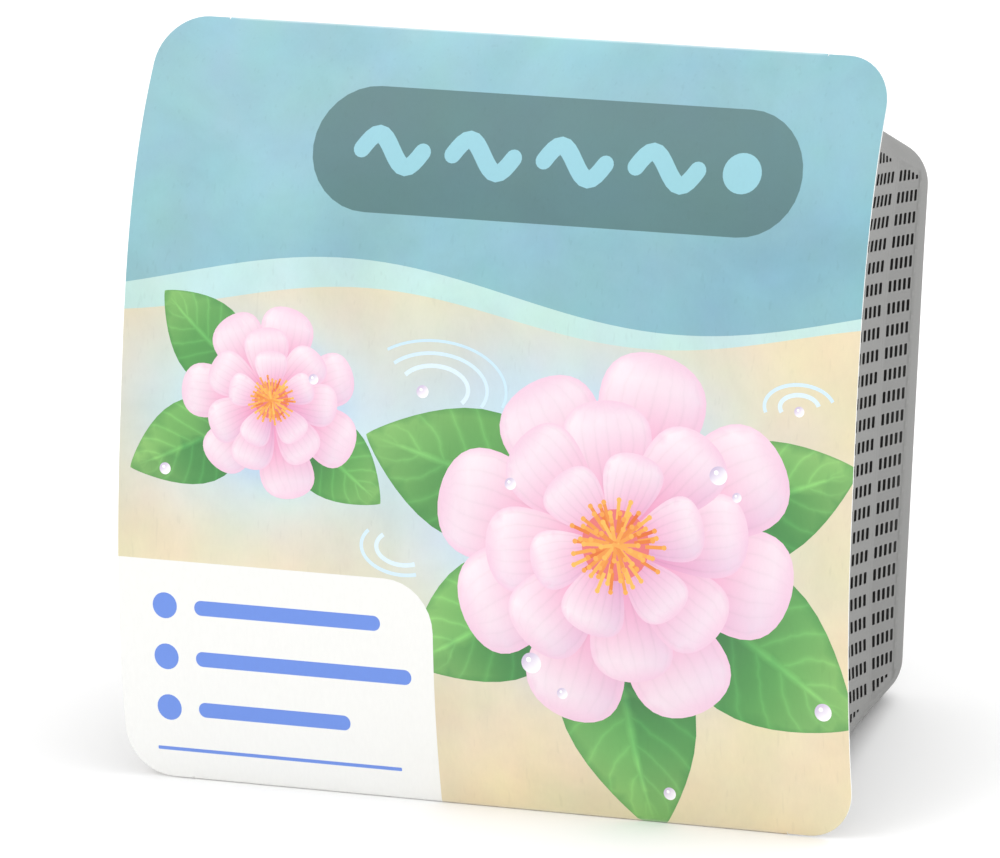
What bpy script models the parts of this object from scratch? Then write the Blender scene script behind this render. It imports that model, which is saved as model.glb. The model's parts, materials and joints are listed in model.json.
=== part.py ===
"""Square perforated pond basket lying on its side, its mouth closed by a bowed printed card.

Both pieces are modelled square to the basket's mouth: X across it, Y into the basket, Z up.
An empty then leans them back until the card's lower fold and the base's edge are level.
"""
import math

import bmesh
import bpy
from mathutils import Vector

# Driving dimensions in metres
DEPTH = 0.106            # mouth to the outside of the base
RIM_HALF = 0.0872        # half width of the walls at the mouth, before the flare
WALL_TAPER = math.radians(9.1)
FLARE = 0.0025           # extra half width at the mouth
FLARE_DEPTH = 0.060
WAIST = 0.0048           # how far the middle of each side is drawn in at the mouth
WAIST_FROM = 0.0335
WAIST_TO = 0.0838
CORNER_RIM = 0.0175
CORNER_BASE = 0.0105
BASE_FILLET = 0.0074
WALL = 0.0010
LIP = 0.0030             # flange round the mouth

SLOT_PITCH = 0.00558
SLOT_ROWS = 24           # rows along each side
SLOT_HIGH = 0.0029
SLOT_BANDS = ((0.0276, 0.0514), (0.0612, 0.0850))  # depths between which each row is open

CARD_WIDE = 0.193
CARD_HIGH = 0.191        # over the two folds
CARD_THICK = 0.0005
CARD_CORNER = 0.0120
CARD_AHEAD = 0.0045      # ends of the card in front of the mouth
BOW = 0.0164             # bulge of the card in front of its ends
BOW_POWER = 2.78
BOW_LEAN = 0.174         # moves the bulge up
BOW_TWIST = -0.10        # a little less bulge on the right
FOLD_RADIUS = 0.0010
FLAP_HALF = 0.0790
FLAP_TIP_HALF = 0.0740
FLAP_LONG = 0.0356
FLAP_IN = math.radians(20.2)

SIDE_STEPS = 8
CORNER_STEPS = 5
WALL_STEPS = 6
FILLET_STEPS = 4
CARD_ROWS = 18
FOLD_STEPS = 4
FLAP_STEPS = 3


def smooth(value, low, high):
    share = min(max((value - low) / (high - low), 0.0), 1.0)
    return share * share * (3 - 2 * share)


def half_at(depth):
    """Half width of the basket's outside over its corners."""
    near = max(1 - depth / FLARE_DEPTH, 0.0)
    half = RIM_HALF - depth * math.tan(WALL_TAPER) + FLARE * near * near
    into = min(max(depth - (DEPTH - BASE_FILLET), 0.0), BASE_FILLET)
    return half - (BASE_FILLET - math.sqrt(BASE_FILLET**2 - into**2))


def waist_at(depth, along):
    """How far a side is drawn in at one depth and one distance from its middle."""
    return WAIST * (1 - depth / DEPTH) * (1 - smooth(abs(along), WAIST_FROM, WAIST_TO))


def quarter(depth, grow):
    """One side and the corner after it, as X and Z, for the side at +X."""
    radius = CORNER_RIM + (CORNER_BASE - CORNER_RIM) * depth / DEPTH
    flat = half_at(depth) - radius
    points = []
    for step in range(SIDE_STEPS):
        along = flat * (2 * step / SIDE_STEPS - 1)
        points.append((flat + radius - waist_at(depth, along) + grow, along))
    for step in range(CORNER_STEPS):
        turn = math.pi / 2 * step / CORNER_STEPS
        drawn = waist_at(depth, flat) * (1 - math.sin(2 * turn)) * math.cos(2 * turn) ** 2
        reach = radius + grow - drawn
        points.append((flat + reach * math.cos(turn), flat + reach * math.sin(turn)))
    return points


def add_ring(bm, depth, grow=0.0, back=0.0):
    """A closed loop of edges round the basket's outside at one depth."""
    verts = []
    for c, s in ((1, 0), (0, 1), (-1, 0), (0, -1)):
        for x, z in quarter(depth, grow):
            verts.append(bm.verts.new((c * x - s * z, depth + back, s * x + c * z)))
    return [bm.edges.new((verts[i - 1], verts[i])) for i in range(len(verts))]


def basket_mesh(bm):
    """Flange, walls, rounded foot and base as one open surface."""
    loops = [add_ring(bm, 0.0, LIP), add_ring(bm, 0.0, LIP * 0.35), add_ring(bm, 0.0, 0.0, 0.0004)]
    tangent = DEPTH - BASE_FILLET
    for step in range(1, WALL_STEPS + 1):
        loops.append(add_ring(bm, tangent * (step / WALL_STEPS) ** 1.2))
    for step in range(1, FILLET_STEPS + 1):
        turn = math.pi / 2 * step / FILLET_STEPS
        loops.append(add_ring(bm, tangent + BASE_FILLET * math.sin(turn)))
    for one, two in zip(loops, loops[1:]):
        bmesh.ops.bridge_loops(bm, edges=one + two)
    bmesh.ops.contextual_create(bm, geom=loops[-1])


def bow(across, up):
    """How far the card's front stands before its ends."""
    side = across / CARD_WIDE
    share = 2 * up / CARD_HIGH
    lift = 1 + (BOW_LEAN + BOW_TWIST * side) * share
    return BOW * (1 + BOW_TWIST * side) * (1 - min(abs(share), 1.0) ** BOW_POWER) * lift


def front_point(across, up):
    return Vector((across, -CARD_AHEAD - bow(across, up), up))


def panel_end():
    """Height above the card's middle at which its front passes into the fold."""
    return CARD_HIGH / 2 - FOLD_RADIUS * 0.57


def fold_point(across, sign, step):
    """Point over the upper (sign 1) or lower (sign -1) fold."""
    end, rise = panel_end(), 0.001
    fall = (bow(across, sign * (end - rise)) - bow(across, sign * end)) / rise
    first, last = math.atan(fall), math.pi / 2 + FLAP_IN
    middle = front_point(across, sign * end)
    middle += Vector((0, math.cos(first), -sign * math.sin(first))) * FOLD_RADIUS
    turn = first + (last - first) * step / FOLD_STEPS
    return middle + Vector((0, -math.cos(turn), sign * math.sin(turn))) * FOLD_RADIUS


def flap_point(across, sign, step):
    """Point along a flap, which narrows and ends in cut corners."""
    share = (0.45, 0.9, 1.0)[step]
    tip = FLAP_TIP_HALF / FLAP_HALF if step == 2 else 1 - 0.03 * share
    point = fold_point(across, sign, FOLD_STEPS)
    point += Vector((0, math.cos(FLAP_IN), -sign * math.sin(FLAP_IN))) * FLAP_LONG * share
    point.x = across * tip
    return point


def card_columns():
    half, corner = CARD_WIDE / 2, CARD_CORNER
    inner = [FLAP_HALF * (2 * i / 6 - 1) for i in range(7)]
    outer = [half - corner + corner * math.sin(math.radians(a)) for a in (0, 20, 38, 54, 68, 80, 90)]
    return [-x for x in reversed(outer)] + inner + outer


def reach_at(across):
    """Half height of the front panel at one place across it."""
    past = abs(across) - (CARD_WIDE / 2 - CARD_CORNER)
    if past <= 0:
        return panel_end()
    return panel_end() - CARD_CORNER + math.sqrt(max(CARD_CORNER**2 - past * past, 0.0))


def card_mesh(bm):
    """The front panel as a bent grid, then each flap drawn out of its edge."""
    columns = card_columns()
    last = len(columns) - 1
    bmesh.ops.create_grid(bm, x_segments=last, y_segments=CARD_ROWS, size=1)
    place, ends = {}, {-1: [], 1: []}
    for vert in bm.verts:
        across = columns[round((vert.co.x + 1) / 2 * last)]
        up = vert.co.y
        place[vert] = across
        if abs(abs(up) - 1) < 1e-4 and abs(across) < FLAP_HALF + 1e-5:
            ends[round(up)].append(vert)
        vert.co = front_point(across, reach_at(across) * up)
    for sign, verts in ends.items():
        chosen = set(verts)
        edges = [edge for edge in bm.edges if chosen.issuperset(edge.verts)]
        for step in range(FOLD_STEPS + FLAP_STEPS):
            sources = sorted({vert for edge in edges for vert in edge.verts}, key=lambda v: place[v])
            drawn = bmesh.ops.extrude_edge_only(bm, edges=edges)["geom"]
            edges = [item for item in drawn if isinstance(item, bmesh.types.BMEdge)]
            tips = sorted({vert for edge in edges for vert in edge.verts}, key=lambda v: v.co.x)
            for source, tip in zip(sources, tips):
                place[tip] = place[source]
                if step < FOLD_STEPS:
                    tip.co = fold_point(place[tip], sign, step + 1)
                else:
                    tip.co = flap_point(place[tip], sign, step - FOLD_STEPS)


def material(name, colour, roughness):
    made = bpy.data.materials.new(name)
    made.use_nodes = True
    shader = made.node_tree.nodes["Principled BSDF"]
    shader.inputs["Base Color"].default_value = (*colour, 1)
    shader.inputs["Roughness"].default_value = roughness
    shader.inputs["Metallic"].default_value = 0.0
    return made


def sheet(name, shape, thickness, look, outward):
    """An object whose surface comes from shape(), thickened to its inner side."""
    bm = bmesh.new()
    shape(bm)
    bmesh.ops.recalc_face_normals(bm, faces=bm.faces)
    if sum(face.normal.dot(outward) * face.calc_area() for face in bm.faces) < 0:
        bmesh.ops.reverse_faces(bm, faces=bm.faces)
    mesh = bpy.data.meshes.new(name)
    bm.to_mesh(mesh)
    bm.free()
    mesh.shade_smooth()
    mesh.set_sharp_from_angle(angle=math.radians(40))
    made = bpy.data.objects.new(name, mesh)
    bpy.context.collection.objects.link(made)
    mesh.materials.append(look)
    solid = made.modifiers.new("Thickness", "SOLIDIFY")
    solid.thickness = thickness
    solid.offset = -1
    solid.use_even_offset = True
    solid.use_quality_normals = True
    return made


def slot_cutter(name, turn):
    """Bars that open the rows of slots in two opposite walls, as an object that isn't built."""
    bm = bmesh.new()
    for near, far in SLOT_BANDS:
        for side in (-1, 1):
            for vert in bmesh.ops.create_cube(bm, size=1)["verts"]:
                vert.co.x = side * RIM_HALF * (0.75 if vert.co.x < 0 else 1.25)
                vert.co.y = near if vert.co.y < 0 else far
                vert.co.z = vert.co.z * SLOT_HIGH - SLOT_PITCH * (SLOT_ROWS - 1) / 2
    bmesh.ops.recalc_face_normals(bm, faces=bm.faces)
    mesh = bpy.data.meshes.new(name)
    bm.to_mesh(mesh)
    bm.free()
    cutter = bpy.data.objects.new(name, mesh)
    cutter.rotation_euler.y = turn
    rows = cutter.modifiers.new("Rows", "ARRAY")
    rows.count = SLOT_ROWS
    rows.use_relative_offset = False
    rows.use_constant_offset = True
    rows.constant_offset_displace = (0, 0, SLOT_PITCH)
    cutter.hide_render = True
    cutter.display_type = "WIRE"
    return cutter


def cut_slots(basket):
    cutters = bpy.data.collections.new("slot cutters")
    bpy.context.scene.collection.children.link(cutters)
    for name, turn in (("side slots", 0.0), ("upper and lower slots", math.pi / 2)):
        cutter = slot_cutter(name, turn)
        cutter.parent = basket
        cutters.objects.link(cutter)
    cut = basket.modifiers.new("Slots", "BOOLEAN")
    cut.operation = "DIFFERENCE"
    cut.solver = "EXACT"
    cut.operand_type = "COLLECTION"
    cut.collection = cutters


def lowest(shape, lean):
    return min(v.co.z * math.cos(lean) - v.co.y * math.sin(lean) for v in shape.data.vertices)


def resting_lean(basket, card):
    """Angle at which the card's fold and the basket's base stand on one level."""
    low, high = 0.0, math.radians(30)
    for _ in range(40):
        lean = (low + high) / 2
        if lowest(basket, lean) > lowest(card, lean):
            low = lean
        else:
            high = lean
    return lean


def lay_down(basket, card):
    """Leans both back, standing on the ground and centred front to back."""
    lean = resting_lean(basket, card)
    along = [v.co.y * math.cos(lean) + v.co.z * math.sin(lean)
             for shape in (basket, card) for v in shape.data.vertices]
    pose = bpy.data.objects.new("lying", None)
    bpy.context.collection.objects.link(pose)
    pose.rotation_euler.x = -lean
    pose.location = (0, -(min(along) + max(along)) / 2, -lowest(card, lean))
    basket.parent = card.parent = pose


def main():
    for old in list(bpy.data.objects):
        bpy.data.objects.remove(old)
    grey = material("grey plastic", (0.36, 0.36, 0.35), 0.5)
    printed = material("printed card", (0.55, 0.68, 0.66), 0.6)
    basket = sheet("basket", basket_mesh, WALL, grey, Vector((0, 1, 0)))
    card = sheet("card", card_mesh, CARD_THICK, printed, Vector((0, -1, 0)))
    cut_slots(basket)
    lay_down(basket, card)


main()
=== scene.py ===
"""Looks of a square pond planting basket that lies on its side behind a bowed printed card.

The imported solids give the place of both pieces. The basket gets its slots, the card its print,
and a plain studio goes round them. Sizes are in metres, and colours are given as on a screen.
"""

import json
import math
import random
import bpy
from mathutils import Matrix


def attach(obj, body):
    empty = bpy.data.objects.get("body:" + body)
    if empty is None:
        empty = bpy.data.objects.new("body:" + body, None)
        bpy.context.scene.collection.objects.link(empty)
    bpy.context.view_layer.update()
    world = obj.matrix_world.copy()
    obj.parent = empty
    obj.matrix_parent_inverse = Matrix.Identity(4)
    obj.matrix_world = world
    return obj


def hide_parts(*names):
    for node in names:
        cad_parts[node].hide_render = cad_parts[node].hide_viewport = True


bl_info = {
    "name": "Pond basket with printed card",
    "version": (1, 0, 0),
    "blender": (4, 5, 0),
    "location": "3D View > Sidebar > Pond basket",
    "description": "Builds a slotted pond basket, its printed card and a plain studio",
    "category": "Add Mesh",
}

import bmesh
import bpy
from bpy.props import FloatProperty, FloatVectorProperty, IntProperty, PointerProperty
from mathutils import Matrix, Vector
from mathutils.geometry import delaunay_2d_cdt

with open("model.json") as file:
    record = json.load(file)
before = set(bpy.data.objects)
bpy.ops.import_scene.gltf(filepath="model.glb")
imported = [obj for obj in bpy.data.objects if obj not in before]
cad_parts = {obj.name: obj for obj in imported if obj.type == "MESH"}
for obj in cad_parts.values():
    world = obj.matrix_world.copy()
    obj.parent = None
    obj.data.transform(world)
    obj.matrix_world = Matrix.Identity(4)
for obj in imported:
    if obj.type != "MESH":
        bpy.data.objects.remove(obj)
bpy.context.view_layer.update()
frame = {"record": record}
BASE = next(mount for mount in frame["record"]["mounts"] if mount["name"] == "base")
INTO = Vector(BASE["axis"]).normalized()  # from the mouth towards the base
MERGE = 1e-6  # places on a sheet that are closer than this are one
WELD = MERGE * 5  # and so are verts that are closer than this


def ink(red, green, blue):
    """Linear colour of a screen colour given from 0 to 255."""
    shares = (red / 255, green / 255, blue / 255)
    return tuple(c / 12.92 if c <= 0.04045 else ((c + 0.055) / 1.055) ** 2.4 for c in shares)


def size(name, default, description):
    return FloatProperty(
        name=name, default=default, description=description, unit="LENGTH", precision=5)


def angle(name, degrees, description):
    return FloatProperty(
        name=name, default=math.radians(degrees), description=description, subtype="ANGLE")


def number(name, default, description):
    return FloatProperty(name=name, default=default, description=description)


def colour(name, default, description):
    return FloatVectorProperty(
        name=name, default=ink(*default), description=description, subtype="COLOR", min=0, max=1)


def count(name, default, description):
    return IntProperty(name=name, default=default, description=description, min=0)


class BasketSettings(bpy.types.PropertyGroup):
    depth: size("Depth", 0.106, "From the mouth to the outside of the base")
    rim_half: size("Half width", 0.0872, "Half width of the walls at the mouth, before the flare")
    taper: angle("Taper", 9.1, "Lean of each wall")
    flare: size("Flare", 0.0025, "Extra half width at the mouth")
    flare_depth: size("Flare depth", 0.060, "Depth at which the flare has run out")
    waist: size("Waist", 0.0048, "How far the middle of each wall is drawn in at the mouth")
    waist_from: size("Waist from", 0.0335, "Distance from the middle at which the waist starts to fade")
    waist_to: size("Waist to", 0.0838, "Distance from the middle at which the waist ends")
    corner_rim: size("Corner at mouth", 0.0175, "Radius of the corners at the mouth")
    corner_base: size("Corner at base", 0.0105, "Radius of the corners at the base")
    foot: size("Foot", 0.0074, "Radius between the walls and the base")
    wall: size("Wall", 0.0010, "Thickness of the plastic")
    lip: size("Lip", 0.0030, "Width of the flange round the mouth")
    grey: colour("Plastic", (117, 117, 115), "Colour of the plastic")
    # painted shade: near black in the slots and the closed inside, where shade falls
    shade: colour("Slot shade", (20, 20, 20), "Colour in the slots and in the closed basket")
    # painted light: the lighter colour that the painted shade goes over to near the floor
    painted_light_low: colour("Low slot shade", (140, 140, 137), "The same near the floor, where light comes in")


class SlotSettings(bpy.types.PropertyGroup):
    rows: count("Rows", 26, "Rows of slots along a wall")
    columns: count("Columns", 11, "Columns of slots from the mouth to the base, with the plain one")
    row_pitch: size("Row pitch", 0.00558, "Distance between rows")
    column_pitch: size("Column pitch", 0.00554, "Distance between columns")
    middle: size("Plain strip", 0.05662, "Depth of the plain strip between the two bands of slots")
    long: size("Length", 0.0032, "Slot size from the mouth to the base")
    high: size("Height", 0.0029, "Slot size along the wall")
    rounding: size("Rounding", 0.0004, "Radius in the corners of a slot")
    border_half: size("Border", 0.0710, "Half height of the slotted panel at its first column")
    border_shift: size("Border shift", 0.0005, "How far the slotted panel lies off the wall's middle")
    border_slope: number("Border slope", 0.139, "How fast the panel narrows towards the base")
    panel_edge: size("Panel edge", 0.0020, "Plain edge of the panel round its slots")
    panel_step: size("Panel step", 0.00012, "How far the slotted panel lies below the plain wall")
    base_count: count("Base rows", 19, "Rows and columns of slots in the base, with the plain ones")
    base_middle: size("Base middle", 0.0125, "Radius of the plain middle of the base")


class CardSettings(bpy.types.PropertyGroup):
    wide: size("Width", 0.193, "Width of the card")
    high: size("Height", 0.191, "Height of the card over its two folds")
    thick: size("Thickness", 0.0005, "Thickness of the board")
    corner: size("Corner", 0.0120, "Radius of the card's corners")
    ahead: size("Gap to mouth", 0.0045, "Distance of the card's ends from the basket's mouth")
    bow: size("Bow", 0.0164, "Bulge of the card in front of its ends")
    bow_power: number("Bow shape", 2.78, "Higher is flatter in the middle")
    bow_lean: number("Bow lean", 0.174, "Moves the bulge up")
    bow_twist: number("Bow twist", -0.10, "Moves the bulge to the right")
    fold: size("Fold", 0.0010, "Outer radius of the folds")
    flap_half: size("Flap half width", 0.0790, "Half width of the flaps at the folds")
    flap_tip: size("Flap tip half width", 0.0740, "Half width of the flaps at their ends")
    flap_long: size("Flap length", 0.0356, "Length of the flaps")
    flap_in: angle("Flap angle", 20.2, "Turn of the flaps past square")
    step: size("Mesh step", 0.0032, "Distance between mesh points on the card")


class PrintSettings(bpy.types.PropertyGroup):
    water: colour("Water", (141, 187, 197), "Band at the top of the card")
    shallows: colour("Shallows", (190, 222, 219), "Second wave under the band")
    sand: colour("Sand", (228, 213, 178), "Ground of the card")
    glow: colour("Glow", (160, 212, 240), "Soft light blue round the blossoms")
    water_deep: colour("Deep water", (123, 173, 187), "Band at the top of the card on the right")
    plate: colour("Plate", (84, 123, 126), "Blank label plate")
    ornament: colour("Ornament", (146, 200, 212), "Waves on the label plate")
    petal_eye: colour("Petal base", (232, 126, 172), "Petals at the middle of a blossom")
    petal: colour("Petal", (238, 194, 217), "Petals halfway out")
    petal_tip: colour("Petal tip", (241, 224, 233), "Petals at their tips")
    petal_shade: colour("Petal shade", (206, 164, 204), "Petals on the side away from the light")
    pollen: colour("Pollen", (226, 112, 48), "Middle of the blossoms")
    pollen_tip: colour("Pollen tip", (250, 190, 92), "Tips of the stamens")
    leaf: colour("Leaf", (106, 172, 92), "Leaves")
    leaf_light: colour("Lit leaf", (160, 208, 122), "Leaves towards the light")
    leaf_dark: colour("Leaf shade", (66, 136, 72), "Leaves away from the light")
    leaf_deep: colour("Leaf in shadow", (40, 92, 58), "Leaves under the blossoms")
    panel: colour("Panel", (241, 241, 238), "White panel")
    mark: colour("Marks", (106, 142, 224), "Marks on the panel")
    board: colour("Board", (214, 208, 196), "Bare back of the board")
    edge: colour("Cut edge", (246, 246, 243), "Cut edges of the board")


class StageSettings(bpy.types.PropertyGroup):
    turn: angle("Turn", 21.289, "Camera round the basket's mouth")
    rise: angle("Rise", 4.045, "Camera above the basket's axis")
    roll: angle("Roll", 2.896, "Roll of the camera")
    distance: size("Distance", 2.29064, "Camera from the middle of the mouth")
    aside: size("Aside", -0.00324, "Camera to the right of the middle of the mouth")
    above: size("Above", -0.00205, "Camera above the middle of the mouth")
    lens: number("Lens", 333.34, "Focal length in millimetres")
    floor: colour("Floor", (252, 252, 252), "Plain floor")
    sky: number("Sky", 0.78, "Strength of the even light")
    key: number("Key light", 4.4, "Power of the softbox in front on the left")
    top: number("Top light", 11.0, "Power of the softbox overhead")
    front: number("Front light", 1.0, "Power of the low softbox in front")
    side: number("Side light", 3.0, "Power of the softbox on the right")


def settings(name):
    """Settings of the basket, its slots, the card, its print or the stage."""
    return getattr(bpy.context.scene, "pond_" + name)


def added(name, data):
    """A new object in the scene."""
    made = bpy.data.objects.new(name, data)
    bpy.context.scene.collection.objects.link(made)
    return made


def finished_mesh(carrier):
    """The object's mesh with its modifiers applied. The object itself is removed."""
    seen = carrier.evaluated_get(bpy.context.evaluated_depsgraph_get())
    mesh = bpy.data.meshes.new_from_object(seen)
    bpy.data.objects.remove(carrier)
    return mesh


def mouth_frame():
    """Matrix from the basket's own axes (across, into it, up in the mouth) to the frame's."""
    up = Vector((0, -INTO.z, INTO.y))
    middle = Vector(BASE["pos_m"]) - INTO * settings("basket").depth
    turn = Matrix((Vector((1, 0, 0)), INTO, up)).transposed().to_4x4()
    return Matrix.Translation(middle) @ turn


def smooth(value, low, high):
    """0 up to low, 1 from high, and an even S between them."""
    share = min(max((value - low) / (high - low), 0.0), 1.0)
    return share * share * (3 - 2 * share)


def mix(first, second, share):
    return tuple(a + (b - a) * share for a, b in zip(first, second))


# Nodes

class Nodes:
    """Adds nodes to one tree. An input is a socket to link or a value to fill in."""

    def __init__(self, tree):
        self.tree = tree

    def add(self, kind, inputs=None, **options):
        made = self.tree.nodes.new(kind)
        for name, value in options.items():
            setattr(made, name, value)
        for key, value in (inputs or {}).items():
            if isinstance(value, bpy.types.NodeSocket):
                self.tree.links.new(value, made.inputs[key])
            else:
                made.inputs[key].default_value = value
        return made

    def calc(self, operation, *values):
        return self.add("ShaderNodeMath", dict(enumerate(values)), operation=operation).outputs[0]

    def plus(self, first, second):
        return self.calc("ADD", first, second)

    def minus(self, first, second):
        return self.calc("SUBTRACT", first, second)

    def times(self, first, second):
        return self.calc("MULTIPLY", first, second)

    def ramp(self, value, low, high, at_low, at_high):
        """Runs from at_low to at_high while the value runs from low to high."""
        return self.add("ShaderNodeMapRange", {
            "Value": value, "From Min": low, "From Max": high, "To Min": at_low,
            "To Max": at_high}).outputs[0]

    def mix(self, first, second, share, kind="RGBA"):
        return self.add("ShaderNodeMix", {
            "Factor": share, "A": first, "B": second}, data_type=kind).outputs["Result"]

    def vector(self, operation, first, second, key=1):
        return self.add("ShaderNodeVectorMath", {
            0: first, key: second}, operation=operation).outputs[0]

    def scaled(self, tone, share):
        return self.vector("SCALE", tone, share, "Scale")

    def split(self, vector):
        return self.add("ShaderNodeSeparateXYZ", {0: vector}).outputs

    def attribute(self, name):
        return self.add("ShaderNodeAttribute", attribute_name=name).outputs

    def stretched(self, place, scale):
        return self.add("ShaderNodeMapping", {"Vector": place, "Scale": scale}).outputs[0]

    def noise(self, place, scale, detail, output="Fac", **more):
        return self.add("ShaderNodeTexNoise", {
            "Vector": place, "Scale": scale, "Detail": detail, **more}).outputs[output]

    def bump(self, height, strength, distance, **more):
        return self.add("ShaderNodeBump", {
            "Height": height, "Strength": strength, "Distance": distance, **more}).outputs[0]


def new_look(name):
    """A material with its nodes, and the place on the object that its patterns follow."""
    look = bpy.data.materials.new(name)
    look.use_nodes = True
    nodes = Nodes(look.node_tree)
    return look, nodes, nodes.add("ShaderNodeTexCoord").outputs["Object"]


def worn(look, tone, rough, normal):
    """The material with its colour, roughness and bump on its shader."""
    shader = look.node_tree.nodes["Principled BSDF"]
    for key, value in (("Base Color", tone), ("Roughness", rough), ("Normal", normal)):
        look.node_tree.links.new(value, shader.inputs[key])
    return look


# Flat sheets cut from outlines

def turned_left(outline):
    """The outline, running anticlockwise."""
    area = sum(a[0] * b[1] - b[0] * a[1] for a, b in zip(outline, outline[1:] + outline[:1]))
    return outline if area > 0 else outline[::-1]


def divided(outline, step):
    """The outline with its long sides cut into steps, so that it bends with the sheet."""
    made = []
    for first, second in zip(outline, outline[1:] + outline[:1]):
        parts = max(math.ceil(math.dist(first, second) / step), 1)
        made += [mix(first, second, i / parts) for i in range(parts)]
    return made


def triangulate(outlines, loose):
    """Places, triangles, and the outlines round each triangle, inside the first outline."""
    places, faces = [], []
    for outline in outlines:
        faces.append(list(range(len(places), len(places) + len(outline))))
        places.extend(Vector(place) for place in turned_left(outline))
    places.extend(Vector(place) for place in loose)
    found = delaunay_2d_cdt(places, [], faces, 1, MERGE, True)
    kept = [(face, set(owners)) for face, owners in zip(found[2], found[5]) if 0 in owners]
    return found[0], kept


# Slots

LEAST_SHARE = 0.15  # a slot cut shorter than this share of its height is left out


def slot_tree():
    """Geometry Nodes tree that lays out the slots of one panel, flat, from named sizes."""
    tree = bpy.data.node_groups.new("slot panel", "GeometryNodeTree")
    kinds = {"Geometry": "Geometry", "Columns": "Int", "Rows": "Int", "Material": "Material"}
    for name in ("Geometry", "Columns", "Rows", "Column pitch", "Row pitch", "Slot length",
                 "Slot height", "Rounding", "Border half", "Border slope", "Border shift",
                 "Plain column", "Plain row", "Plain middle", "Material"):
        tree.interface.new_socket(
            name, in_out="INPUT", socket_type="NodeSocket" + kinds.get(name, "Float"))
    tree.interface.new_socket("Geometry", in_out="OUTPUT", socket_type="NodeSocketGeometry")
    nodes = Nodes(tree)
    given = nodes.add("NodeGroupInput").outputs
    wide = nodes.times(nodes.minus(given["Columns"], 1.0), given["Column pitch"])
    tall = nodes.times(nodes.minus(given["Rows"], 1.0), given["Row pitch"])
    grid = nodes.add("GeometryNodeMeshGrid", {
        "Size X": wide, "Size Y": tall, "Vertices X": given["Columns"], "Vertices Y": given["Rows"]})
    place = nodes.split(nodes.add("GeometryNodeInputPosition").outputs[0])
    beside = nodes.calc("ABSOLUTE", place["X"])
    off = nodes.calc("ABSOLUTE", place["Y"])
    sign = nodes.calc("SIGN", place["Y"])
    along = nodes.plus(place["X"], nodes.times(wide, 0.5))
    border = nodes.minus(given["Border half"], nodes.times(given["Border slope"], along))
    border = nodes.plus(border, nodes.times(given["Border shift"], sign))
    room = nodes.plus(nodes.minus(border, off), nodes.times(given["Slot height"], 0.5))
    share = nodes.calc("MINIMUM", nodes.calc("DIVIDE", room, given["Slot height"]), 1.0)
    away = nodes.plus(nodes.calc("POWER", beside, 2.0), nodes.calc("POWER", off, 2.0))
    wanted = nodes.calc("GREATER_THAN", share, LEAST_SHARE)
    for measure, least in ((beside, "Plain column"), (off, "Plain row"),
                           (nodes.calc("SQRT", away), "Plain middle")):
        wanted = nodes.times(wanted, nodes.calc("GREATER_THAN", measure, given[least]))
    slot = nodes.add("GeometryNodeCurvePrimitiveQuadrilateral", {
        "Width": given["Slot length"], "Height": given["Slot height"]})
    slot = nodes.add("GeometryNodeFilletCurve", {
        "Curve": slot.outputs[0], "Count": 2, "Radius": given["Rounding"]}, mode="POLY")
    slot = nodes.add("GeometryNodeFillCurve", {"Curve": slot.outputs[0]}, mode="NGONS")
    shape = nodes.add("ShaderNodeCombineXYZ", {"X": 1.0, "Y": share, "Z": 1.0})
    slots = nodes.add("GeometryNodeInstanceOnPoints", {
        "Points": grid.outputs["Mesh"], "Selection": wanted, "Instance": slot.outputs[0],
        "Scale": shape.outputs[0]})
    cut = nodes.times(nodes.minus(1.0, share), given["Slot height"])
    shift = nodes.add("ShaderNodeCombineXYZ", {"Y": nodes.times(sign, nodes.times(cut, -0.5))})
    slots = nodes.add("GeometryNodeTranslateInstances", {
        "Instances": slots.outputs[0], "Translation": shift.outputs[0], "Local Space": False})
    real = nodes.add("GeometryNodeRealizeInstances", {0: slots.outputs[0]})
    finished = nodes.add("GeometryNodeSetMaterial", {
        "Geometry": real.outputs[0], "Material": given["Material"]})
    nodes.add("NodeGroupOutput", {0: finished.outputs[0]})
    return tree


def slot_outlines(tree, material, middle, changed):
    """Outlines of a panel's slots, moved along by middle. What isn't changed is as on a wall."""
    made = settings("slots")
    values = {
        "Columns": made.columns, "Rows": made.rows, "Column pitch": made.column_pitch,
        "Row pitch": made.row_pitch, "Slot length": made.long, "Slot height": made.high,
        "Rounding": made.rounding, "Border half": made.border_half,
        "Border slope": made.border_slope, "Border shift": made.border_shift,
        "Plain column": made.column_pitch / 2, "Material": material, **changed}
    carrier = added("slot carrier", bpy.data.meshes.new("slot carrier"))
    laid = carrier.modifiers.new("Slots", "NODES")
    laid.node_group = tree
    named = {item.name: item.identifier for item in tree.interface.items_tree
             if item.in_out == "INPUT"}
    for name, value in values.items():
        laid[named[name]] = value
    mesh = finished_mesh(carrier)
    outlines = [[(mesh.vertices[i].co.x + middle, mesh.vertices[i].co.y) for i in face.vertices]
                for face in mesh.polygons]
    bpy.data.meshes.remove(mesh)
    return outlines


def base_slots(tree, material):
    made = settings("slots")
    half = made.row_pitch / 2
    return slot_outlines(tree, material, 0.0, {
        "Columns": made.base_count, "Rows": made.base_count, "Column pitch": made.row_pitch,
        "Border half": 1.0, "Border slope": 0.0, "Border shift": 0.0, "Plain column": half,
        "Plain row": half, "Plain middle": made.base_middle})


# Basket

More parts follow.
